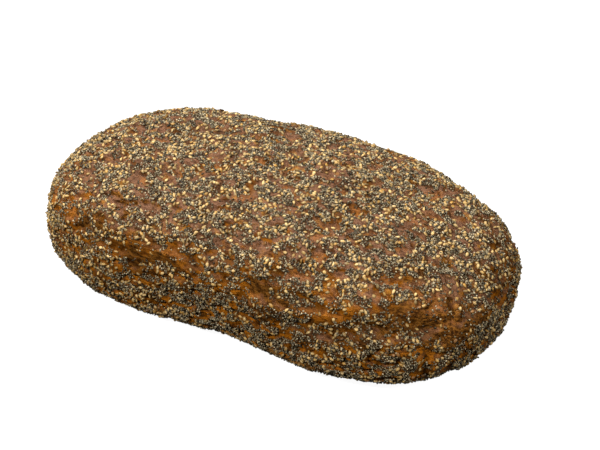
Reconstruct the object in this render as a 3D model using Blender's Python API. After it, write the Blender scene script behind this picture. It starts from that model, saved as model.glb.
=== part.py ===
"""A whole oval multigrain loaf, baked on the oven floor and rolled in sesame seeds.

The loaf is one solid. +X runs along it, +Y is its fuller side, +Z is up, and the origin lies on
the surface that it rests on, under the middle of its outline. Lengths are in metres.
"""

import math
import random

import bmesh
import bpy
from mathutils import Matrix, Vector, noise

# Driving dimensions of the baked dough
LENGTH = 0.290
WIDTH = 0.160
HEIGHT = 0.083
WIDEST_AT = 0.029
FLAT_BASE_CUT = 0.004
FLATTEN_BELOW = 0.0002

# How square the form is: 2 is an ellipse, more is fuller
PLAN_POWER = 2.74
PLAN_POWER_CHANGE = 0.27
CROWN_POWER = 2.44
BASE_POWER = 3.57

# How the outline seen from above departs from an even oval
WAIST_DEPTH, WAIST_X, WAIST_REACH = 0.0105, -0.001, 0.050
BULGE_DEPTH, BULGE_X, BULGE_REACH = 0.0070, 0.0265, 0.042
END_LEAN = 0.0030

# The +Y side is fuller than the other, so the form moves this far to keep its outline centred
SIDE_SHIFT = -0.0065

# Uneven proofing: (height, size across) of the broad and the small lumps, and which draw of them
BROAD_LUMP, BROAD_LUMP_SIZE = 0.0026, 0.042
SMALL_LUMP, SMALL_LUMP_SIZE = 0.0013, 0.017
LUMPS_DRAW = (7.5, -6.6, -2.3)
LUMPS_START, LUMPS_FULL = 0.003, 0.016

# Folds of the skin on the front side: (start, end, depth, half width)
FOLDS = (
    ((0.040, -0.082, 0.038), (0.083, -0.076, 0.045), 0.0030, 0.0045),
    ((0.083, -0.075, 0.049), (0.122, -0.057, 0.047), 0.0034, 0.0050),
    ((0.020, -0.077, 0.054), (0.064, -0.077, 0.056), 0.0022, 0.0042),
    ((-0.092, -0.071, 0.053), (-0.060, -0.080, 0.050), 0.0022, 0.0055),
    ((-0.058, -0.079, 0.047), (-0.030, -0.078, 0.050), 0.0022, 0.0050),
)

# Places where the crust shows bare between the seeds: (centre, radius)
BARE_PLACES = (
    ((0.130, -0.045, 0.050), 0.021),
    ((0.103, -0.067, 0.050), 0.011),
    ((-0.043, -0.079, 0.050), 0.014),
    ((-0.088, -0.071, 0.055), 0.011),
    ((-0.070, -0.058, 0.069), 0.011),
    ((-0.112, 0.003, 0.068), 0.010),
    ((0.035, -0.078, 0.052), 0.012),
    ((0.090, 0.013, 0.077), 0.009),
)

# The dough's grid before it is shaped: cells along, across and up
CELLS = (38, 20, 8)

# Sesame seeds: a flat drop, pressed in over the top and the sides
SEED_LENGTH, SEED_WIDTH, SEED_THICKNESS = 0.0032, 0.0021, 0.0012
SEED_TAPER = 0.28
SEED_SIDES, SEED_RINGS = 5, 3
SEED_LIFT = 0.00015
SEED_TILT = math.radians(12)
SEED_SIZE_RANGE = (0.92, 1.12)
SEED_COUNT = 215
SEED_GAP = 0.0112
SEED_LOWEST = 0.006
SEED_TRIES = 20000
DRAW = 20


def smooth_step(value, low, high):
    share = min(1.0, max(0.0, (value - low) / (high - low)))
    return share * share * (3.0 - 2.0 * share)


def sphere_direction(corner):
    """Where a point of the cube from -1 to 1 goes on the unit sphere, with even cells."""
    x2, y2, z2 = (c * c for c in corner)
    return Vector(
        (
            corner.x * math.sqrt(1 - y2 / 2 - z2 / 2 + y2 * z2 / 3),
            corner.y * math.sqrt(1 - x2 / 2 - z2 / 2 + x2 * z2 / 3),
            corner.z * math.sqrt(1 - x2 / 2 - y2 / 2 + x2 * y2 / 3),
        )
    )


def near_place(along, centre, reach):
    return math.exp(-(((along - centre) / reach) ** 2))


def smooth_form(direction):
    """The loaf's smooth outside in a direction from its middle, without lumps."""
    plan_power = PLAN_POWER + PLAN_POWER_CHANGE * direction.x
    level = (abs(direction.x) ** plan_power + abs(direction.y) ** plan_power) ** (1 / plan_power)
    rise = abs(direction.z)
    power = CROWN_POWER if direction.z >= 0 else BASE_POWER
    reach = (level**power + rise**power) ** (-1 / power)
    along, across, up = reach * direction

    x = along * LENGTH / 2
    y = across * WIDTH / 2 + END_LEAN * along + SIDE_SHIFT
    if across < 0:
        waist = WAIST_DEPTH * near_place(x, WAIST_X, WAIST_REACH)
        y -= across * waist * (1 - max(0.0, up))
    else:
        y += across * BULGE_DEPTH * near_place(x, BULGE_X, BULGE_REACH)
    if up >= 0:
        z = WIDEST_AT + up * (HEIGHT - WIDEST_AT)
    else:
        z = WIDEST_AT + up * (WIDEST_AT + FLAT_BASE_CUT)
    return Vector((x, y, max(0.0, z)))


def fold_depth(point):
    """How deep the folds press in at a point, deepest along the middle of each."""
    deepest = 0.0
    for start, end, depth, half_width in FOLDS:
        start, run = Vector(start), Vector(end) - Vector(start)
        share = min(1.0, max(0.0, (point - start).dot(run) / run.length_squared))
        away = (point - start - share * run).length
        deepest = max(deepest, depth * math.exp(-((away / half_width) ** 2)))
    return deepest


def relief(point):
    """How far the crust stands out from the smooth form at a point, in metres."""
    unshifted = point - Vector((0.0, SIDE_SHIFT, 0.0))
    draw = Vector(LUMPS_DRAW)
    lumps = BROAD_LUMP * noise.noise(unshifted / BROAD_LUMP_SIZE + draw)
    lumps += SMALL_LUMP * noise.noise(unshifted / SMALL_LUMP_SIZE + draw)
    return (lumps - fold_depth(point)) * smooth_step(point.z, LUMPS_START, LUMPS_FULL)


def gridded_cube(cells):
    """A cube from -1 to 1 with each edge cut into the given number of cells."""
    grid = bmesh.new()
    bmesh.ops.create_cube(grid, size=2.0)
    for axis, count in enumerate(cells):
        along = [e for e in grid.edges if abs(e.verts[0].co[axis] - e.verts[1].co[axis]) > 1.0]
        bmesh.ops.subdivide_edges(grid, edges=along, cuts=count - 1)
    return grid


def bake_dough():
    """The loaf without its seeds: a shaped grid with a flat base."""
    dough = gridded_cube(CELLS)
    for vertex in dough.verts:
        vertex.co = smooth_form(sphere_direction(vertex.co))
    dough.normal_update()
    moves = [vertex.normal * relief(vertex.co) for vertex in dough.verts]
    for vertex, move in zip(dough.verts, moves):
        vertex.co += move
        if vertex.co.z < FLATTEN_BELOW:
            vertex.co.z = 0.0

    base = [f for f in dough.faces if all(v.co.z == 0.0 for v in f.verts)]
    bmesh.ops.dissolve_faces(dough, faces=base, use_verts=True)
    bmesh.ops.triangulate(dough, faces=dough.faces)
    return dough


def make_seed_mesh():
    """One sesame seed, lying along X, thinner towards its tip."""
    seed = bmesh.new()
    poles_along_x = Matrix.Rotation(math.radians(90), 4, "Y")
    bmesh.ops.create_uvsphere(
        seed, u_segments=SEED_SIDES, v_segments=SEED_RINGS, radius=1.0, matrix=poles_along_x
    )
    for vertex in seed.verts:
        narrowing = 1.0 - SEED_TAPER * vertex.co.x
        vertex.co.x *= SEED_LENGTH / 2
        vertex.co.y *= SEED_WIDTH / 2 * narrowing
        vertex.co.z *= SEED_THICKNESS / 2 * narrowing
    mesh = bpy.data.meshes.new("sesame_seed")
    seed.to_mesh(mesh)
    seed.free()
    return mesh


def is_bare(point):
    return any((point - Vector(centre)).length < radius for centre, radius in BARE_PLACES)


def seed_places(dough):
    """Points on the crust, and its normal there, evenly apart and clear of the bare places."""
    draw = random.Random(DRAW)
    faces = [f for f in dough.faces if min(v.co.z for v in f.verts) > SEED_LOWEST]
    areas = [f.calc_area() for f in faces]
    places = []
    for face in draw.choices(faces, weights=areas, k=SEED_TRIES):
        shares = sorted((draw.random(), draw.random()))
        weights = (shares[0], shares[1] - shares[0], 1.0 - shares[1])
        point = sum((w * v.co for w, v in zip(weights, face.verts)), Vector())
        if is_bare(point):
            continue
        if all((point - other).length > SEED_GAP for other, _ in places):
            places.append((point, face.normal.copy()))
        if len(places) == SEED_COUNT:
            break
    return places


def scatter_seeds(dough, collection):
    """Puts a seed object, half sunk in the crust, at each place."""
    mesh = make_seed_mesh()
    draw = random.Random(DRAW + 1)
    for number, (point, normal) in enumerate(seed_places(dough)):
        lie_flat = Matrix.Translation(point + normal * SEED_LIFT)
        lie_flat @= normal.to_track_quat("Z", "Y").to_matrix().to_4x4()
        turn = Matrix.Rotation(draw.uniform(0.0, math.tau), 4, "Z")
        tilt = Matrix.Rotation(draw.uniform(-SEED_TILT, SEED_TILT), 4, "Y")
        size = Matrix.Scale(draw.uniform(*SEED_SIZE_RANGE), 4)
        seed = bpy.data.objects.new(f"seed_{number:03d}", mesh)
        collection.objects.link(seed)
        seed.matrix_world = lie_flat @ turn @ tilt @ size
    return mesh


def fuse(loaf, collection):
    """Joins every object of the collection to the loaf, then removes the collection."""
    union = loaf.modifiers.new("seeds", "BOOLEAN")
    union.operation = "UNION"
    union.solver = "EXACT"
    union.operand_type = "COLLECTION"
    union.collection = collection
    graph = bpy.context.evaluated_depsgraph_get()
    fused = bpy.data.meshes.new_from_object(loaf.evaluated_get(graph))
    loaf.modifiers.remove(union)
    plain = loaf.data
    loaf.data = fused
    fused.name = loaf.name
    bpy.data.meshes.remove(plain)
    for seed in list(collection.objects):
        bpy.data.objects.remove(seed)
    bpy.data.collections.remove(collection)


def crust_material():
    material = bpy.data.materials.new("seeded_crust")
    material.use_nodes = True
    shader = material.node_tree.nodes["Principled BSDF"]
    shader.inputs["Base Color"].default_value = (0.20, 0.105, 0.045, 1.0)
    shader.inputs["Roughness"].default_value = 0.55
    shader.inputs["Metallic"].default_value = 0.0
    return material


def make_collection(name):
    collection = bpy.data.collections.new(name)
    bpy.context.scene.collection.children.link(collection)
    return collection


def main():
    for obj in list(bpy.data.objects):
        bpy.data.objects.remove(obj)

    parts = make_collection("multigrain_bread")
    seeds = make_collection("sesame_seeds")

    dough = bake_dough()
    mesh = bpy.data.meshes.new("loaf")
    dough.to_mesh(mesh)
    mesh.materials.append(crust_material())
    loaf = bpy.data.objects.new("loaf", mesh)
    parts.objects.link(loaf)

    seed_mesh = scatter_seeds(dough, seeds)
    dough.free()
    bpy.context.view_layer.update()
    fuse(loaf, seeds)
    bpy.data.meshes.remove(seed_mesh)

    loaf.data.shade_smooth()
    loaf.data.set_sharp_from_angle(angle=math.radians(40))
    return loaf


main()
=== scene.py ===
import math

import bmesh
import bpy
import numpy as np
from mathutils import Euler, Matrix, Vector, noise
from mathutils.kdtree import KDTree


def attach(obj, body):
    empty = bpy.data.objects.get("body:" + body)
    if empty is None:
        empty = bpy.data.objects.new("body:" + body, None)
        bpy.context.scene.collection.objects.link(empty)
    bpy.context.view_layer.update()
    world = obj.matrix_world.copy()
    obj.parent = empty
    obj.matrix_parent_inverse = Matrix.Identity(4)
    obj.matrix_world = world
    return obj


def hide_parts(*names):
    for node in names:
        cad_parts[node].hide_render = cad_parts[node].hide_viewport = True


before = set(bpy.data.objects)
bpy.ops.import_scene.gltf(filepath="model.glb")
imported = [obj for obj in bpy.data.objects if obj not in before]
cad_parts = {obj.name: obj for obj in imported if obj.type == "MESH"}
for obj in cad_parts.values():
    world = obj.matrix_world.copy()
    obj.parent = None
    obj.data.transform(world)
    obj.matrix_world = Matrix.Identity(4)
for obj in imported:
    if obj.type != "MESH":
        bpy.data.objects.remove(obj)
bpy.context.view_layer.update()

# The loaf's form, as its solid has it. Lengths are in metres
LENGTH = 0.290
WIDTH = 0.160
HEIGHT = 0.083
WIDEST_AT = 0.029
FLAT_BASE_CUT = 0.004
FLATTEN_BELOW = 0.0002
PLAN_POWER = 2.74
PLAN_POWER_CHANGE = 0.27
CROWN_POWER = 2.44
BASE_POWER = 3.57
WAIST_DEPTH, WAIST_X, WAIST_REACH = 0.0105, -0.001, 0.050
BULGE_DEPTH, BULGE_X, BULGE_REACH = 0.0070, 0.0265, 0.042
END_LEAN = 0.0030
SIDE_SHIFT = -0.0065

# Uneven proofing: (height, size across) of the broad and the small lumps, and which draw of them
BROAD_LUMP, BROAD_LUMP_SIZE = 0.0026, 0.042
SMALL_LUMP, SMALL_LUMP_SIZE = 0.0013, 0.017
LUMPS_DRAW = (7.5, -6.6, -2.3)
LUMPS_START, LUMPS_FULL = 0.003, 0.016

# Folds of the skin on the front side: (start, end, depth, half width)
FOLDS = (
    ((0.040, -0.082, 0.038), (0.083, -0.076, 0.045), 0.0030, 0.0045),
    ((0.083, -0.075, 0.049), (0.122, -0.057, 0.047), 0.0034, 0.0050),
    ((0.020, -0.077, 0.054), (0.064, -0.077, 0.056), 0.0022, 0.0042),
    ((-0.092, -0.071, 0.053), (-0.060, -0.080, 0.050), 0.0022, 0.0055),
    ((-0.058, -0.079, 0.047), (-0.030, -0.078, 0.050), 0.0022, 0.0050),
)

# Places where the crust shows bare between the seeds: (centre, radius)
BARE_PLACES = (
    ((0.130, -0.045, 0.050), 0.021),
    ((0.103, -0.067, 0.050), 0.011),
    ((-0.043, -0.079, 0.050), 0.014),
    ((-0.088, -0.071, 0.055), 0.011),
    ((-0.070, -0.058, 0.069), 0.011),
    ((-0.112, 0.003, 0.068), 0.010),
    ((0.035, -0.078, 0.052), 0.012),
    ((0.090, 0.013, 0.077), 0.009),
)

# Their shape: a stretch along each axis, and an edge that wanders and ripples by these shares
BARE_STRETCH = (0.78, 1.1, 1.25)
EDGE_WANDER, EDGE_WANDER_SIZE = 0.55, 0.009
EDGE_RIPPLE, EDGE_RIPPLE_SIZE = 0.35, 0.004
BARE_WITHIN, SEEDED_BEYOND = 0.85, 1.15

# Seeded ridges cross the bare places whose radius is no larger than this
WIDE_BARE = 0.018
RIDGES_KEPT, RIDGES_FROM, RIDGES_FULL = 0.85, -0.02, 0.18

# Along the shoulders of both sides the seeds lie thinner, in spots, and the crust is more amber
THIN_AT, THIN_REACH = 0.052, 0.0095
SHOULDER_FROM, SHOULDER_FULL = 0.02, 0.05
THIN_SPOTS, THIN_SPOT_EDGE, THIN_LEAST = 0.020, 0.15, 0.40
THIN_SESAME, THIN_POPPY, THIN_COLOUR = 0.55, 0.70, 0.70

# Towards the -X end, and more so low down, there is more sesame and less poppy
SESAME_END_REACH, SESAME_END_LEAST = 0.11, 0.5
SESAME_END_HIGH, SESAME_END_LOW = 0.075, 0.045

# The crust's grid: cells along, across and up
CRUST_CELLS = (240, 132, 62)

# The skin stands higher where seeds stuck to it: sizes across of the patches, and their rise
COVER_SIZE, COVER_FINE_SIZE, COVER_FINE_SHARE = 0.0070, 0.0028, 0.45
COVER_STRETCH = (0.66, 1.0, 1.20)
SEEDED_FROM, SEEDED_FULL = -0.17, -0.07
PATCH_RISE, RISE_FROM, RISE_FULL = 0.0021, -0.48, 0.0
PUCKER, PUCKER_SIZE = 0.00065, 0.0034

# Which draw of the noise each pattern takes
NOISE_DRAWS = {
    "edge wander": 5.0,
    "edge ripple": 7.0,
    "cover": 11.0,
    "fine cover": 17.0,
    "clumps": 23.0,
    "groups": 31.0,
    "sparse": 41.0,
    "thin": 51.0,
}

# All seeds: which draw of them, how much their sizes vary, and how low they go on the sides
SEEDS_DRAW = 7
SIZE_SPREAD, SIZE_RANGE = 0.09, (0.8, 1.2)
SEEDS_LOWEST = 0.0026

# A sesame seed: length, width and thickness, and how many sides and rings it has
SESAME = (0.0031, 0.0020, 0.0011)
SESAME_TAPER = 0.30
SESAME_SIDES, SESAME_RINGS = 6, 4

# Where sesame sticks: its chance in and out of the patches, in groups, at the -X end and in bare places
SESAME_TRIES, SESAME_COUNT = 48000, 5100
SESAME_GAP = 0.00165
SESAME_CHANCE, STRAY_SESAME = 0.75, 0.08
SESAME_EVEN, SESAME_GROUPED, SESAME_AT_END = 0.24, 0.42, 0.42
GROUP_SIZE, GROUP_FROM, GROUP_FULL = 0.014, -0.35, 0.25
BARE_OF_SESAME = 0.88

# How sesame lies: angles from flat, in radians, lifts from the crust, and the seeds that stand on edge
SESAME_TILT, SESAME_ROLL = math.radians(16), math.radians(20)
SESAME_LIFT = (-0.0001, 0.0004)
ON_EDGE_SHARE, ON_EDGE_AT_END = 0.15, 0.20
ON_EDGE_ROLL, ON_EDGE_LIFT = (0.8, 1.4), 0.0003

# A poppy seed, in the same way
POPPY = (0.00130, 0.00115, 0.00106)
POPPY_TAPER = 0.12
POPPY_SIDES, POPPY_RINGS = 5, 3

# Where poppy seeds stick: in clumps, fewer in sparse patches, at the -X end and in bare places
POPPY_TRIES, POPPY_COUNT = 290000, 26000
POPPY_GAP, POPPY_CLEAR_OF_SESAME = 0.00086, 0.00090
CLUMPS_FOLLOW_COVER = 0.6
CLUMP_SIZE, CLUMPED_FROM, CLUMPED_FULL = 0.0046, -0.05, 0.03
SPARSE_SIZE, SPARSE_FROM, SPARSE_FULL = 0.017, 0.05, 0.40
STRAY_POPPY, SPARSE_LOSS, LOSS_AT_END = 0.012, 0.75, 0.55
BARE_OF_POPPY = 0.94

# How poppy seeds lie, in the same way, and the share of a clump's seeds with another on top of them
POPPY_TILT = 0.5
POPPY_LIFT = (-0.00010, 0.00030)
HEAP_SHARE, HEAP_RISE, HEAP_SPREAD = 0.22, 0.00048, 0.00050

# In the seeds' map, a seed's cell is this many times as high as the seed's longest half
MAP_CELL = 2.2

# The fine wrinkles of the skin run along the loaf: size across, stretch and depth
WRINKLE_SIZE, WRINKLE_STRETCH, WRINKLE_DEPTH = 0.0021, (0.55, 1.0, 1.25), 0.0022

# Patterns of colour in the skin: sizes across
BROAD_PATCH, TOP_PATCH, HOLLOW_PATCH = 0.026, 0.012, 0.011
SPOT, SPECK = 0.0065, 0.0022
RIM_PATCH, UNDER_PATCH, SHEEN_PATCH = 0.012, 0.014, 0.004

# The tan rim just above the base: where it ends and where it is full
RIM_TOP, RIM_FULL = 0.016, 0.004

# How strongly some colours cover what is under them: the top's mauve with its painted sheen, the painted
# shade in the folds and the painted shade between clumped seeds
TOP_AND_SHEEN_COVERS, FOLD_SHADE_COVERS, SHADE_BETWEEN_COVERS = 0.95, 0.6, 0.65

# Colours, linear
CRUST_DARK = (0.038, 0.013, 0.0012)
CRUST_BROWN = (0.138, 0.043, 0.003)
CRUST_ORANGE = (0.40, 0.127, 0.005)
CRUST_AMBER = (0.36, 0.155, 0.020)
# Mauve brown of top-facing skin: partly the top's own darker bake, partly a painted sheen of the light
# from above
CRUST_TOP_AND_SHEEN = (0.166, 0.080, 0.045)
CRUST_BARE = (0.056, 0.018, 0.002)
# Painted highlight of the wrinkles' ridges, on the bare places and elsewhere
CRUST_LIT = (0.320, 0.126, 0.018)
CRUST_FLECK = (0.016, 0.009, 0.004)
# Painted shade of the skin between clumped poppy seeds
CRUST_SHADE_BETWEEN = (0.030, 0.013, 0.004)
CRUST_TAN = (0.36, 0.19, 0.050)
BASE_BROWN = (0.130, 0.056, 0.016)
BASE_TAN = (0.310, 0.170, 0.068)
SESAME_PALE = (0.64, 0.430, 0.170)
SESAME_GOLD = (0.48, 0.288, 0.085)
SESAME_AMBER = (0.46, 0.25, 0.055)
SESAME_TOASTED = (0.24, 0.11, 0.030)
CRUST_SHEEN = (1.0, 0.62, 0.30)
# Painted shade multiplied into the wrinkles' valleys
PAINTED_WRINKLE_SHADE = (0.30, 0.23, 0.16)
SEED_MOTTLE = (0.5, 0.5, 0.5)
POPPY_KINDS = {
    "poppy_slate": (0.115, 0.089, 0.047),
    "poppy_dark": (0.036, 0.025, 0.010),
    "poppy_grey": (0.205, 0.162, 0.090),
    # Pale poppy seeds: partly the seeds' own lighter tone, partly painted glints
    "poppy_pale_and_glint": (0.34, 0.275, 0.165),
}
POPPY_SHARES = (0.29, 0.29, 0.28, 0.14)

# The colours' spread from seed to seed, the seeds of odd colours, and within a sesame seed its darker tip
# and a painted shade on its rim
SESAME_SHADES, POPPY_SHADES = (0.45, 1.12), (0.5, 1.5)
TOASTED_SHARE, AMBER_SHARE = 0.12, 0.14
TIP_SHADE, RIM_PAINTED_SHADE = 0.45, 0.55
TIP_FROM, TIP_FULL = 0.2, 0.5

# Surfaces: how mottled and rough the seeds are, how strongly things shine, and the size of the mottling
SESAME_MOTTLE, SESAME_ROUGHNESS = 0.35, 0.45
POPPY_MOTTLE, POPPY_ROUGHNESS = 0.5, 0.36
CRUST_SHINE, SEED_SHINE = 0.15, 0.30
MOTTLE_SIZE = 0.0007

# Area lights, all aimed at the origin: place, size across and power
LIGHTS = {
    "key": ((-1.20, 0.55, 1.75), 0.25, 63.0),
    "top": ((0.0, 0.1, 1.3), 0.6, 6.0),
    "front": ((-0.45, -1.22, 1.38), 0.20, 42.0),
    "right": ((1.35, -0.05, 0.95), 0.40, 17.0),
}
WORLD_STRENGTH = 0.068

# The white floor: half its width, its own grey, its roughness and the light that it gives off
FLOOR_HALF, FLOOR_GREY, FLOOR_ROUGHNESS, FLOOR_GLOW = 4.0, 0.12, 0.9, 0.95

# The photograph's view: turn, height and distance of the camera, and what it aims at
CAMERA_AZIMUTH = math.radians(28.09)
CAMERA_ELEVATION = math.radians(38.0)
CAMERA_DISTANCE = 1.2
CAMERA_LENS, SENSOR = 121.06, 36.0
AIM_HEIGHT = 0.035
AIM_RIGHT, AIM_UP = 0.01444, 0.00549


def smooth_step(value, low, high):
    share = np.clip((value - low) / (high - low), 0.0, 1.0)
    return share * share * (3.0 - 2.0 * share)


def near_place(along, centre, reach):
    return np.exp(-(((along - centre) / reach) ** 2))


def noise_at(points, size, shift=0.0):
    """Smooth noise from about -1 to 1 at each point, with lumps of the given size."""
    scaled = points / size + shift
    return np.fromiter((noise.noise(p) for p in scaled.tolist()), float, len(scaled))


def box_grid(cells):
    """Points from -1 to 1 on a cube's surface, and the quads between them."""
    counts = np.array(cells)
    weights = np.array([(counts[1] + 1) * (counts[2] + 1), counts[2] + 1, 1])
    quads = []
    for axis in range(3):
        one, two = (axis + 1) % 3, (axis + 2) % 3
        i, j = np.meshgrid(np.arange(counts[one]), np.arange(counts[two]), indexing="ij")
        for side in (0, 1):
            corners = []
            for di, dj in ((0, 0), (1, 0), (1, 1), (0, 1)):
                across = weights[one] * (i + di) + weights[two] * (j + dj)
                corners.append((weights[axis] * side * counts[axis] + across).ravel())
            faces = np.stack(corners, axis=1)
            quads.append(faces if side else faces[:, ::-1])
    quads = np.concatenate(quads)
    keys, places = np.unique(quads, return_inverse=True)
    steps = [keys // weights[0], keys // weights[1] % (counts[1] + 1), keys % (counts[2] + 1)]
    return 2.0 * np.stack(steps, axis=1) / counts - 1.0, places.reshape(quads.shape)


def sphere_directions(corners):
    """Where points of the cube from -1 to 1 go on the unit sphere, with even cells."""
    squares = corners**2
    one, two = np.roll(squares, -1, axis=1), np.roll(squares, -2, axis=1)
    return corners * np.sqrt(1 - one / 2 - two / 2 + one * two / 3)


def smooth_form(directions):
    """The loaf's smooth outside in each direction from its middle, without lumps."""
    power = PLAN_POWER + PLAN_POWER_CHANGE * directions[:, 0]
    x, y, z = np.abs(directions).T
    level = (x**power + y**power) ** (1 / power)
    power = np.where(directions[:, 2] >= 0, CROWN_POWER, BASE_POWER)
    reach = (level**power + z**power) ** (-1 / power)
    along, across, up = (reach[:, None] * directions).T

    x = along * LENGTH / 2
    y = across * WIDTH / 2 + END_LEAN * along + SIDE_SHIFT
    waist = WAIST_DEPTH * near_place(x, WAIST_X, WAIST_REACH) * (1 - np.maximum(0.0, up))
    bulge = BULGE_DEPTH * near_place(x, BULGE_X, BULGE_REACH)
    y += np.where(across < 0, -across * waist, across * bulge)
    rise = np.where(up >= 0, HEIGHT - WIDEST_AT, WIDEST_AT + FLAT_BASE_CUT)
    z = np.maximum(0.0, WIDEST_AT + up * rise)
    return np.stack([x, y, z], axis=1)


def fold_depths(points):
    """How deep the folds press in at each point, deepest along the middle of each."""
    deepest = np.zeros(len(points))
    for start, end, depth, half_width in FOLDS:
        start, run = np.array(start), np.subtract(end, start)
        share = np.clip((points - start) @ run / (run @ run), 0.0, 1.0)
        away = np.linalg.norm(points - start - share[:, None] * run, axis=1)
        deepest = np.maximum(deepest, depth * np.exp(-((away / half_width) ** 2)))
    return deepest


def cover(points):
    """High in the patches where seeds stuck, low in the hollows between them."""
    stretched = points * np.array(COVER_STRETCH)
    broad = noise_at(stretched, COVER_SIZE, NOISE_DRAWS["cover"])
    return broad + COVER_FINE_SHARE * noise_at(stretched, COVER_FINE_SIZE, NOISE_DRAWS["fine cover"])


def bareness(points):
    """1 in the middle of the bare places, 0 outside them, less where seeded ridges cross a small one."""
    bare = np.zeros(len(points))
    edge = 1.0 + EDGE_WANDER * noise_at(points, EDGE_WANDER_SIZE, NOISE_DRAWS["edge wander"])
    edge += EDGE_RIPPLE * noise_at(points, EDGE_RIPPLE_SIZE, NOISE_DRAWS["edge ripple"])
    ridges = RIDGES_KEPT * smooth_step(cover(points), RIDGES_FROM, RIDGES_FULL)
    for centre, radius in BARE_PLACES:
        away = (points - np.array(centre)) * np.array(BARE_STRETCH)
        away = np.linalg.norm(away, axis=1) / (radius * edge)
        inside = 1.0 - smooth_step(away, BARE_WITHIN, SEEDED_BEYOND)
        bare = np.maximum(bare, inside if radius > WIDE_BARE else inside * (1.0 - ridges))
    return bare


def thinned(points):
    """1 where few seeds stuck, in spots along the shoulders of both sides, 0 away from them."""
    sides = smooth_step(np.abs(points[:, 1]), SHOULDER_FROM, SHOULDER_FULL)
    band = near_place(points[:, 2], THIN_AT, THIN_REACH)
    spots = smooth_step(noise_at(points, THIN_SPOTS, NOISE_DRAWS["thin"]), -THIN_SPOT_EDGE, THIN_SPOT_EDGE)
    return sides * band * (THIN_LEAST + (1.0 - THIN_LEAST) * spots)


def clumped(points):
    """1 where poppy seeds lie thick, 0 between the clumps."""
    clumps = noise_at(points * np.array(COVER_STRETCH), CLUMP_SIZE, NOISE_DRAWS["clumps"])
    return smooth_step(CLUMPS_FOLLOW_COVER * cover(points) + clumps, CLUMPED_FROM, CLUMPED_FULL)


def sesame_end(points):
    """1 low down at the -X end, where most sesame stuck, and 0 over the other half of the loaf."""
    low = smooth_step(-points[:, 2], -SESAME_END_HIGH, -SESAME_END_LOW)
    share = SESAME_END_LEAST + (1.0 - SESAME_END_LEAST) * low
    return smooth_step(-points[:, 0], 0.0, SESAME_END_REACH) * share


def normals_of(points, quads):
    """Smooth normals of a quad mesh's points."""
    across = np.cross(points[quads[:, 2]] - points[quads[:, 0]], points[quads[:, 3]] - points[quads[:, 1]])
    normals = np.zeros_like(points)
    for corner in range(4):
        np.add.at(normals, quads[:, corner], across)
    return normals / np.linalg.norm(normals, axis=1, keepdims=True)


def add_floats(mesh, name, values):
    mesh.attributes.new(name, "FLOAT", "POINT").data.foreach_set("value", values.astype(np.float32))


def make_crust():
    """The bare loaf: the solid's own form on a fine grid, with the fine relief of its skin."""
    corners, quads = box_grid(CRUST_CELLS)
    points = smooth_form(sphere_directions(corners))
    normals = normals_of(points, quads)

    start = smooth_step(points[:, 2], LUMPS_START, LUMPS_FULL)
    unshifted = points - np.array([0.0, SIDE_SHIFT, 0.0])
    draw = np.array(LUMPS_DRAW)
    lumps = BROAD_LUMP * noise_at(unshifted, BROAD_LUMP_SIZE, draw)
    lumps += SMALL_LUMP * noise_at(unshifted, SMALL_LUMP_SIZE, draw)
    folds = fold_depths(points)
    raised = smooth_step(cover(points), RISE_FROM, RISE_FULL)
    fine = PATCH_RISE * (raised - 1.0) + PUCKER * noise_at(points, PUCKER_SIZE)
    relief = (lumps - folds + fine) * start
    points += normals * relief[:, None]
    points[points[:, 2] < FLATTEN_BELOW, 2] = 0.0

    mesh = bpy.data.meshes.new("crust")
    mesh.from_pydata(points, [], quads)
    add_floats(mesh, "fold", folds / max(fold[2] for fold in FOLDS))
    add_floats(mesh, "hollow", (1.0 - raised) * start)
    bare = bareness(points)
    add_floats(mesh, "bare", bare)
    thin = thinned(points)
    add_floats(mesh, "thinned", thin)
    # Where poppy seeds lie thick, for the painted shade between them
    add_floats(mesh, "clumped", clumped(points) * (1.0 - bare) * (1.0 - THIN_POPPY * thin) * start)
    flatten_base(mesh)
    crust = bpy.data.objects.new("crust", mesh)
    bpy.context.scene.collection.objects.link(crust)
    return crust


def flatten_base(mesh):
    """Makes the flat underside one face, cut into flat triangles, and the rest smooth."""
    grid = bmesh.new()
    grid.from_mesh(mesh)
    for face in grid.faces:
        face.smooth = True
    base = [f for f in grid.faces if all(v.co.z == 0.0 for v in f.verts)]
    whole = bmesh.ops.dissolve_faces(grid, faces=base, use_verts=True)["region"]
    for face in bmesh.ops.triangulate(grid, faces=whole)["faces"]:
        face.smooth = False
    grid.to_mesh(mesh)
    grid.free()


def points_on(mesh, tries, draw):
    """Random points, evenly spread over the crust above its rim, and its normal at each."""
    mesh.calc_loop_triangles()
    corners = np.empty(len(mesh.loop_triangles) * 3, np.int32)
    mesh.loop_triangles.foreach_get("vertices", corners)
    places = np.empty(len(mesh.vertices) * 3)
    mesh.vertices.foreach_get("co", places)
    normals = np.empty(len(mesh.vertices) * 3)
    mesh.vertices.foreach_get("normal", normals)
    corners, places, normals = corners.reshape(-1, 3), places.reshape(-1, 3), normals.reshape(-1, 3)
    corners = corners[places[corners, 2].min(axis=1) > SEEDS_LOWEST]
    a, b, c = (places[corners[:, n]] for n in range(3))
    areas = np.linalg.norm(np.cross(b - a, c - a), axis=1)
    chosen = corners[draw.choice(len(corners), tries, p=areas / areas.sum())]
    shares = np.sort(draw.random((tries, 2)), axis=1)
    weights = np.stack([shares[:, 0], shares[:, 1] - shares[:, 0], 1 - shares[:, 1]], axis=1)[..., None]
    point = (weights * places[chosen]).sum(axis=1)
    normal = (weights * normals[chosen]).sum(axis=1)
    return point, normal / np.linalg.norm(normal, axis=1, keepdims=True)


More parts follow.
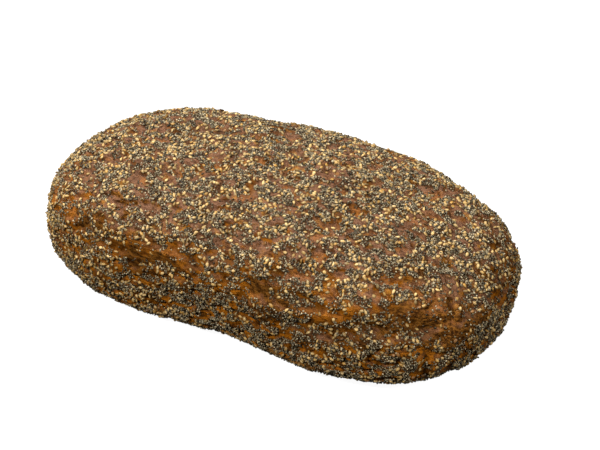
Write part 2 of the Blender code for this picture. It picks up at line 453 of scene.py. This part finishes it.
def keep_apart(points, gap, most):
    """Numbers of the points kept, in turn, so that no two are nearer than the gap."""
    cells = {}
    kept = []
    steps = [(i, j, k) for i in (-1, 0, 1) for j in (-1, 0, 1) for k in (-1, 0, 1)]
    for number, (x, y, z) in enumerate(points.tolist()):
        i, j, k = int(x // gap), int(y // gap), int(z // gap)
        near = (p for di, dj, dk in steps for p in cells.get((i + di, j + dj, k + dk), ()))
        if all((x - a) ** 2 + (y - b) ** 2 + (z - c) ** 2 > gap * gap for a, b, c in near):
            cells.setdefault((i, j, k), []).append((x, y, z))
            kept.append(number)
            if len(kept) == most:
                break
    return np.array(kept)


def clear_of(points, others, gap):
    """Which points are further than the gap from all the others."""
    tree = KDTree(len(others))
    for number, other in enumerate(others):
        tree.insert(other, number)
    tree.balance()
    return np.array([tree.find(p)[2] > gap for p in points])


def seed_form(size, taper, sides, rings):
    """One seed, lying along X and thinner towards +X: its points and triangles."""
    length, width, thickness = size
    points = [(-length / 2, 0.0, 0.0)]
    for ring in range(1, rings):
        angle = math.pi * ring / rings
        x = -math.cos(angle)
        wide = math.sin(angle) * (1.0 - taper * x)
        for side in range(sides):
            turn = math.tau * side / sides
            y, z = wide * math.cos(turn), wide * math.sin(turn)
            points.append((x * length / 2, y * width / 2, z * thickness / 2))
    points.append((length / 2, 0.0, 0.0))
    faces = []
    last = len(points) - 1
    for side in range(sides):
        after = (side + 1) % sides
        faces.append((0, 1 + after, 1 + side))
        for ring in range(rings - 2):
            low, high = 1 + ring * sides, 1 + (ring + 1) * sides
            faces.append((low + side, low + after, high + after))
            faces.append((low + side, high + after, high + side))
        end = 1 + (rings - 2) * sides
        faces.append((end + side, end + after, last))
    return np.array(points), np.array(faces)


def rotations(normals, turns, tilts, rolls):
    """Matrices that lay a seed on the crust, turned about its normal, then tilted and rolled."""
    helper = np.where(np.abs(normals[:, :1]) < 0.8, [[1.0, 0.0, 0.0]], [[0.0, 1.0, 0.0]])
    side = np.cross(normals, helper)
    side /= np.linalg.norm(side, axis=1, keepdims=True)
    other = np.cross(normals, side)
    flat = np.stack([side, other, normals], axis=2)

    def about(axis, angles):
        matrix = np.zeros((len(angles), 3, 3))
        one, two = (axis + 1) % 3, (axis + 2) % 3
        matrix[:, axis, axis] = 1.0
        matrix[:, one, one] = matrix[:, two, two] = np.cos(angles)
        matrix[:, two, one] = np.sin(angles)
        matrix[:, one, two] = -np.sin(angles)
        return matrix

    return flat @ about(2, turns) @ about(1, tilts) @ about(0, rolls)


def cell_maps(form, faces, count):
    """For each face corner of each seed, its place in the seed's own cell of a square map."""
    points = form[faces]
    below = points[:, :, 2].mean(axis=1) < 0
    spread = np.abs(form[:, :2]).max() * MAP_CELL
    local = points[:, :, :2] / spread
    local = local * np.array([0.5, 1.0]) + np.array([0.25, 0.5])
    local[below, :, 0] += 0.5
    across = math.ceil(math.sqrt(count))
    number = np.arange(count)
    corner = np.stack([number % across, number // across], axis=1)
    return (corner[:, None, None, :] + local[None]) / across


def make_scatter(name, form, faces, places, turned, sizes, colours):
    """One mesh of many seeds, each with its own place, size and colour."""
    count, corners = len(places), len(form)
    scaled = form[None] * sizes[:, None, :]
    points = np.einsum("nij,nkj->nki", turned, scaled) + places[:, None, :]
    triangles = faces[None] + corners * np.arange(count)[:, None, None]
    mesh = bpy.data.meshes.new(name)
    mesh.from_pydata(points.reshape(-1, 3), [], triangles.reshape(-1, 3))
    attribute = mesh.color_attributes.new("seed_colour", "FLOAT_COLOR", "POINT")
    attribute.data.foreach_set("color", colours.astype(np.float32).ravel())
    uv = mesh.uv_layers.new(name="OFBake")
    uv.uv.foreach_set("vector", cell_maps(form, faces, count).astype(np.float32).ravel())
    mesh.shade_smooth()
    piece = bpy.data.objects.new(name, mesh)
    bpy.context.scene.collection.objects.link(piece)
    return piece


def blend_colours(low, high, share):
    return np.asarray(low) * (1 - share[:, None]) + np.asarray(high) * share[:, None]


def sesame_places(mesh, draw):
    """Where sesame sticks: points of the crust and their normals, in groups, few in the bare places."""
    point, normal = points_on(mesh, SESAME_TRIES, draw)
    seeded = smooth_step(cover(point), SEEDED_FROM, SEEDED_FULL)
    grouped = smooth_step(noise_at(point, GROUP_SIZE, NOISE_DRAWS["groups"]), GROUP_FROM, GROUP_FULL)
    in_groups = SESAME_EVEN + SESAME_GROUPED * grouped + SESAME_AT_END * sesame_end(point)
    chance = (STRAY_SESAME + (1.0 - STRAY_SESAME) * seeded) * np.clip(in_groups, 0.0, 1.0)
    chance *= (1.0 - BARE_OF_SESAME * bareness(point)) * (1.0 - THIN_SESAME * thinned(point))
    wanted = draw.random(len(point)) < SESAME_CHANCE * chance
    point, normal = point[wanted], normal[wanted]
    kept = keep_apart(point, SESAME_GAP, SESAME_COUNT)
    return point[kept], normal[kept]


def sesame_colours(form, count, draw):
    """A colour for each point of each seed, darker towards its tip, with painted shade on its rim."""
    base = blend_colours(SESAME_GOLD, SESAME_PALE, draw.random(count))
    fate = draw.random(count)
    base[fate < TOASTED_SHARE + AMBER_SHARE] = SESAME_AMBER
    base[fate < TOASTED_SHARE] = SESAME_TOASTED
    base *= draw.uniform(*SESAME_SHADES, (count, 1))
    tip = smooth_step(form[:, 0] / SESAME[0], TIP_FROM, TIP_FULL)
    # Painted shade on the seed's rim, where its sides turn from the light
    rim = 1.0 - np.abs(form[:, 2]) / (SESAME[2] / 2)
    shade = (1.0 - TIP_SHADE * tip) * (1.0 - RIM_PAINTED_SHADE * rim)
    colours = np.ones((count, len(form), 4))
    colours[..., :3] = base[:, None, :] * shade[None, :, None]
    return colours


def scatter_sesame(crust, draw):
    """The sesame seeds as one piece, some of them standing on edge, and where they are."""
    point, normal = sesame_places(crust.data, draw)
    count = len(point)
    on_edge = draw.random(count) < ON_EDGE_SHARE + ON_EDGE_AT_END * sesame_end(point)
    turned = rotations(
        normal,
        draw.uniform(0, math.tau, count),
        draw.normal(0, SESAME_TILT, count),
        np.where(on_edge, draw.uniform(*ON_EDGE_ROLL, count), draw.normal(0, SESAME_ROLL, count)),
    )
    sizes = draw.normal(1.0, SIZE_SPREAD, (count, 3)).clip(*SIZE_RANGE)
    form, faces = seed_form(SESAME, SESAME_TAPER, SESAME_SIDES, SESAME_RINGS)
    colours = sesame_colours(form, count, draw)
    lift = draw.uniform(*SESAME_LIFT, count) + ON_EDGE_LIFT * on_edge
    point = point + normal * lift[:, None]
    return make_scatter("sesame_seeds", form, faces, point, turned, sizes, colours), point


def poppy_places(mesh, sesame_at, draw):
    """Where poppy seeds stick, in clumps clear of the sesame, with some on top of others."""
    point, normal = points_on(mesh, POPPY_TRIES, draw)
    seeded = clumped(point)
    sparse = smooth_step(-noise_at(point, SPARSE_SIZE, NOISE_DRAWS["sparse"]), SPARSE_FROM, SPARSE_FULL)
    chance = STRAY_POPPY + (1.0 - STRAY_POPPY) * seeded * (1.0 - SPARSE_LOSS * sparse)
    chance *= (1.0 - BARE_OF_POPPY * bareness(point)) * (1.0 - THIN_POPPY * thinned(point))
    chance *= 1.0 - LOSS_AT_END * sesame_end(point)
    wanted = draw.random(len(point)) < chance
    point, normal, seeded = point[wanted], normal[wanted], seeded[wanted]
    clear = clear_of(point, sesame_at, POPPY_CLEAR_OF_SESAME)
    point, normal, seeded = point[clear], normal[clear], seeded[clear]
    kept = keep_apart(point, POPPY_GAP, POPPY_COUNT)
    point, normal, seeded = point[kept], normal[kept], seeded[kept]

    point = point + normal * draw.uniform(*POPPY_LIFT, (len(point), 1))
    heaped = draw.random(len(point)) < HEAP_SHARE * seeded
    outward = normal[heaped]
    aside = draw.normal(0.0, HEAP_SPREAD, outward.shape)
    aside -= outward * (aside * outward).sum(axis=1, keepdims=True)
    on_top = point[heaped] + outward * HEAP_RISE + aside
    return np.concatenate([point, on_top]), np.concatenate([normal, outward])


def scatter_poppies(crust, sesame_at, draw):
    """The poppy seeds, as one piece for each shade."""
    point, normal = poppy_places(crust.data, sesame_at, draw)
    kind = draw.choice(len(POPPY_KINDS), len(point), p=POPPY_SHARES)
    form, faces = seed_form(POPPY, POPPY_TAPER, POPPY_SIDES, POPPY_RINGS)
    pieces = []
    for number, (name, colour) in enumerate(POPPY_KINDS.items()):
        mine = kind == number
        count = int(mine.sum())
        turned = rotations(
            normal[mine],
            draw.uniform(0, math.tau, count),
            draw.normal(0, POPPY_TILT, count),
            draw.uniform(0, math.tau, count),
        )
        sizes = draw.normal(1.0, SIZE_SPREAD, (count, 1)).clip(*SIZE_RANGE) * np.ones((1, 3))
        colours = np.ones((count, len(form), 4))
        colours[..., :3] = (np.array(colour) * draw.uniform(*POPPY_SHADES, (count, 1)))[:, None, :]
        pieces.append(make_scatter(name, form, faces, point[mine], turned, sizes, colours))
    return pieces


class Nodes:
    """Short ways to add and join a material's nodes."""

    def __init__(self, name):
        self.material = bpy.data.materials.new(name)
        self.material.use_nodes = True
        self.tree = self.material.node_tree
        self.shader = self.tree.nodes["Principled BSDF"]

    def add(self, kind, inputs=(), **settings):
        node = self.tree.nodes.new("ShaderNode" + kind)
        for name, value in settings.items():
            setattr(node, name, value)
        for name, value in dict(inputs).items():
            self.feed(node.inputs[name], value)
        return node

    def feed(self, socket, value):
        if isinstance(value, bpy.types.NodeSocket):
            self.tree.links.new(value, socket)
        else:
            socket.default_value = value

    def set(self, **inputs):
        for name, value in inputs.items():
            self.feed(self.shader.inputs[name.replace("_", " ")], value)

    def object_place(self):
        return self.add("TexCoord").outputs["Object"]

    def noise(self, size, detail=3.0, rough=0.5, place=None):
        """Noise around 0.5, with lumps of the given size."""
        place = place or self.object_place()
        settings = {"Vector": place, "Scale": 1.0 / size, "Detail": detail, "Roughness": rough}
        return self.add("TexNoise", settings).outputs["Fac"]

    def spread(self, value, low, high, start=0.0, end=1.0):
        """Turns low into start and high into end, and holds the value there beyond them."""
        settings = {"Value": value, "From Min": low, "From Max": high, "To Min": start, "To Max": end}
        return self.add("MapRange", settings).outputs["Result"]

    def attribute(self, name):
        return self.add("Attribute", attribute_name=name).outputs["Fac"]

    def times(self, one, two):
        node = self.add("Math", operation="MULTIPLY")
        self.feed(node.inputs[0], one)
        self.feed(node.inputs[1], two)
        return node.outputs[0]

    def mix(self, share, one, two, kind="MIX"):
        node = self.add("Mix", data_type="RGBA", blend_type=kind)
        self.feed(node.inputs[0], share)
        self.feed(node.inputs[6], one if isinstance(one, bpy.types.NodeSocket) else (*one, 1.0))
        self.feed(node.inputs[7], two if isinstance(two, bpy.types.NodeSocket) else (*two, 1.0))
        return node.outputs[2]


def skin_by_place(n, upward, broad):
    """Dark to brown skin on the sides, mauve brown on top, partly the top's own bake and partly a painted
    sheen, with orange and amber spots and hollows.
    """
    colour = n.mix(broad, CRUST_DARK, CRUST_BROWN)
    # Top-facing skin turns mauve brown in patches: partly its own bake, partly a painted sheen
    top = n.times(upward, n.spread(n.noise(TOP_PATCH, 4.0), 0.34, 0.52))
    colour = n.mix(n.times(top, TOP_AND_SHEEN_COVERS), colour, CRUST_TOP_AND_SHEEN)

    spots = n.noise(SPOT, 5.0, 0.62)
    on_sides = n.times(n.spread(spots, 0.41, 0.57), n.spread(upward, 1.0, 0.0, 0.0, 0.85))
    on_top = n.times(n.spread(spots, 0.55, 0.66), n.spread(upward, 0.0, 1.0, 0.0, 0.65))
    colour = n.mix(on_sides, colour, CRUST_ORANGE)
    colour = n.mix(on_top, colour, CRUST_AMBER)

    patches = n.spread(n.noise(HOLLOW_PATCH), 0.50, 0.60)
    hollow = n.times(n.spread(n.attribute("hollow"), 0.25, 0.85), patches)
    hollow = n.times(hollow, n.spread(upward, 0.0, 1.0, 0.85, 0.30))
    return n.mix(hollow, colour, CRUST_ORANGE)


def bare_skin(n, colour, upward, broad, wrinkles):
    """Lays the thinly seeded band and the bare places over the skin, paints shade into the folds, and
    paints highlights on the wrinkles' ridges and shade in their valleys.
    """
    amber = n.mix(broad, CRUST_BROWN, CRUST_ORANGE)
    colour = n.mix(n.times(n.attribute("thinned"), THIN_COLOUR), colour, amber)
    # On the bare places the skin is dark in the wrinkles' valleys and lit on their ridges: painted shade
    # and highlight
    skin = n.mix(n.spread(wrinkles, 0.43, 0.74), CRUST_BARE, CRUST_LIT)
    bare = n.times(n.attribute("bare"), n.spread(upward, 0.7, 1.0, 0.95, 0.1))
    colour = n.mix(bare, colour, skin)
    # Painted shade in the folds of the front side
    colour = n.mix(n.times(n.attribute("fold"), FOLD_SHADE_COVERS), colour, CRUST_DARK)
    # Painted highlight on the wrinkles' ridges, then painted shade in their valleys
    colour = n.mix(n.spread(wrinkles, 0.60, 0.70, 0.0, 0.5), colour, CRUST_LIT)
    return n.mix(n.spread(wrinkles, 0.54, 0.38, 0.0, 0.85), colour, PAINTED_WRINKLE_SHADE, "MULTIPLY")


def skin_details(n, colour, height, facing, wrinkles):
    """Paints shade on the skin between clumped seeds, then adds specks, the tan rim and the underside."""
    # Painted shade where poppy seeds lie in clumps
    colour = n.mix(n.times(n.attribute("clumped"), SHADE_BETWEEN_COVERS), colour, CRUST_SHADE_BETWEEN)
    specks = n.spread(n.noise(SPECK, 2.0), 0.69, 0.73)
    colour = n.mix(specks, colour, CRUST_FLECK)
    rim = n.times(n.spread(height, RIM_TOP, RIM_FULL), n.spread(n.noise(RIM_PATCH), 0.42, 0.55))
    colour = n.mix(rim, colour, CRUST_TAN)

    under = n.mix(n.spread(n.noise(UNDER_PATCH, 5.0, 0.6), 0.36, 0.64), BASE_BROWN, BASE_TAN)
    # Painted shade in the underside's wrinkle valleys
    under = n.mix(n.spread(wrinkles, 0.46, 0.36), under, CRUST_DARK)
    return n.mix(n.spread(facing, -0.60, -0.95), colour, under)


def crust_material():
    """Baked skin: mauve brown on top, partly painted sheen, darker and orange on the sides, satin, finely
    wrinkled, with painted light and shade on the wrinkles and painted shade in the folds and between
    clumped seeds.
    """
    n = Nodes("baked_crust")
    height = n.add("SeparateXYZ", {"Vector": n.object_place()}).outputs["Z"]
    facing = n.add("SeparateXYZ", {"Vector": n.add("TexCoord").outputs["Normal"]}).outputs["Z"]
    upward = n.spread(facing, 0.30, 0.75)
    along = n.add("VectorMath", {0: n.object_place(), 1: WRINKLE_STRETCH}, operation="MULTIPLY")
    wrinkles = n.noise(WRINKLE_SIZE, 6.0, 0.68, along.outputs["Vector"])
    broad = n.spread(n.noise(BROAD_PATCH), 0.38, 0.62)

    colour = skin_by_place(n, upward, broad)
    colour = bare_skin(n, colour, upward, broad, wrinkles)
    colour = skin_details(n, colour, height, facing, wrinkles)
    rough = n.spread(n.noise(SHEEN_PATCH, 4.0), 0.3, 0.7, 0.30, 0.50)
    bump = n.add("Bump", {"Height": wrinkles, "Strength": 1.0, "Distance": WRINKLE_DEPTH})
    n.set(Base_Color=colour, Roughness=rough, Normal=bump.outputs["Normal"])
    n.set(Specular_IOR_Level=CRUST_SHINE, Specular_Tint=(*CRUST_SHEEN, 1.0))
    return n.material


def seed_material(name, mottle, rough):
    """A seed's own colour, a little mottled."""
    n = Nodes(name)
    own = n.add("Attribute", attribute_name="seed_colour").outputs["Color"]
    share = n.spread(n.noise(MOTTLE_SIZE, 2.0), 0.35, 0.65, 0.0, mottle)
    colour = n.mix(share, own, SEED_MOTTLE, "MULTIPLY")
    n.set(Base_Color=colour, Roughness=rough, Specular_IOR_Level=SEED_SHINE)
    return n.material


def make_floor():
    """A floor that gives off light itself, so that it looks as white as the photograph's ground."""
    mesh = bpy.data.meshes.new("floor")
    corners = [(x * FLOOR_HALF, y * FLOOR_HALF, 0) for x, y in ((-1, -1), (1, -1), (1, 1), (-1, 1))]
    mesh.from_pydata(corners, [], [(0, 1, 2, 3)])
    floor = bpy.data.objects.new("floor", mesh)
    bpy.context.scene.collection.objects.link(floor)
    n = Nodes("white_floor")
    n.set(Base_Color=(FLOOR_GREY, FLOOR_GREY, FLOOR_GREY, 1.0), Roughness=FLOOR_ROUGHNESS)
    n.set(Emission_Color=(1.0, 1.0, 1.0, 1.0), Emission_Strength=FLOOR_GLOW)
    mesh.materials.append(n.material)
    floor.visible_diffuse = False
    floor.visible_glossy = False


def make_lights():
    world = bpy.data.worlds.new("studio")
    world.use_nodes = True
    background = world.node_tree.nodes["Background"]
    background.inputs["Color"].default_value = (1.0, 1.0, 1.0, 1.0)
    background.inputs["Strength"].default_value = WORLD_STRENGTH
    bpy.context.scene.world = world
    for name, (place, size, power) in LIGHTS.items():
        light = bpy.data.lights.new(name, "AREA")
        light.size = size
        light.energy = power
        lamp = bpy.data.objects.new(name, light)
        bpy.context.scene.collection.objects.link(lamp)
        lamp.location = place
        lamp.rotation_euler = Vector(place).to_track_quat("Z", "Y").to_euler()


def make_camera():
    turn, rise = CAMERA_AZIMUTH, CAMERA_ELEVATION
    back = Vector((math.sin(turn) * math.cos(rise), -math.cos(turn) * math.cos(rise), math.sin(rise)))
    right = Vector((math.cos(turn), math.sin(turn), 0.0))
    up = back.cross(right)
    aim = Vector((0.0, SIDE_SHIFT, AIM_HEIGHT)) + right * AIM_RIGHT + up * AIM_UP
    data = bpy.data.cameras.new("camera")
    data.lens = CAMERA_LENS
    data.sensor_width = SENSOR
    camera = bpy.data.objects.new("camera", data)
    bpy.context.scene.collection.objects.link(camera)
    camera.location = aim + back * CAMERA_DISTANCE
    camera.rotation_euler = Euler((math.pi / 2 - rise, 0.0, turn))
    bpy.context.scene.camera = camera


def main():
    bpy.context.scene.view_settings.view_transform = "Standard"
    make_camera()
    make_lights()
    make_floor()
    crust = make_crust()
    crust.data.materials.append(crust_material())
    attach(crust, "root")
    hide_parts("loaf")
    draw = np.random.default_rng(SEEDS_DRAW)
    sesame, sesame_at = scatter_sesame(crust, draw)
    sesame.data.materials.append(seed_material("toasted_sesame", SESAME_MOTTLE, SESAME_ROUGHNESS))
    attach(sesame, "root")
    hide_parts("loaf")
    for poppy in scatter_poppies(crust, sesame_at, draw):
        poppy.data.materials.append(seed_material(poppy.name, POPPY_MOTTLE, POPPY_ROUGHNESS))
        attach(poppy, "root")


main()
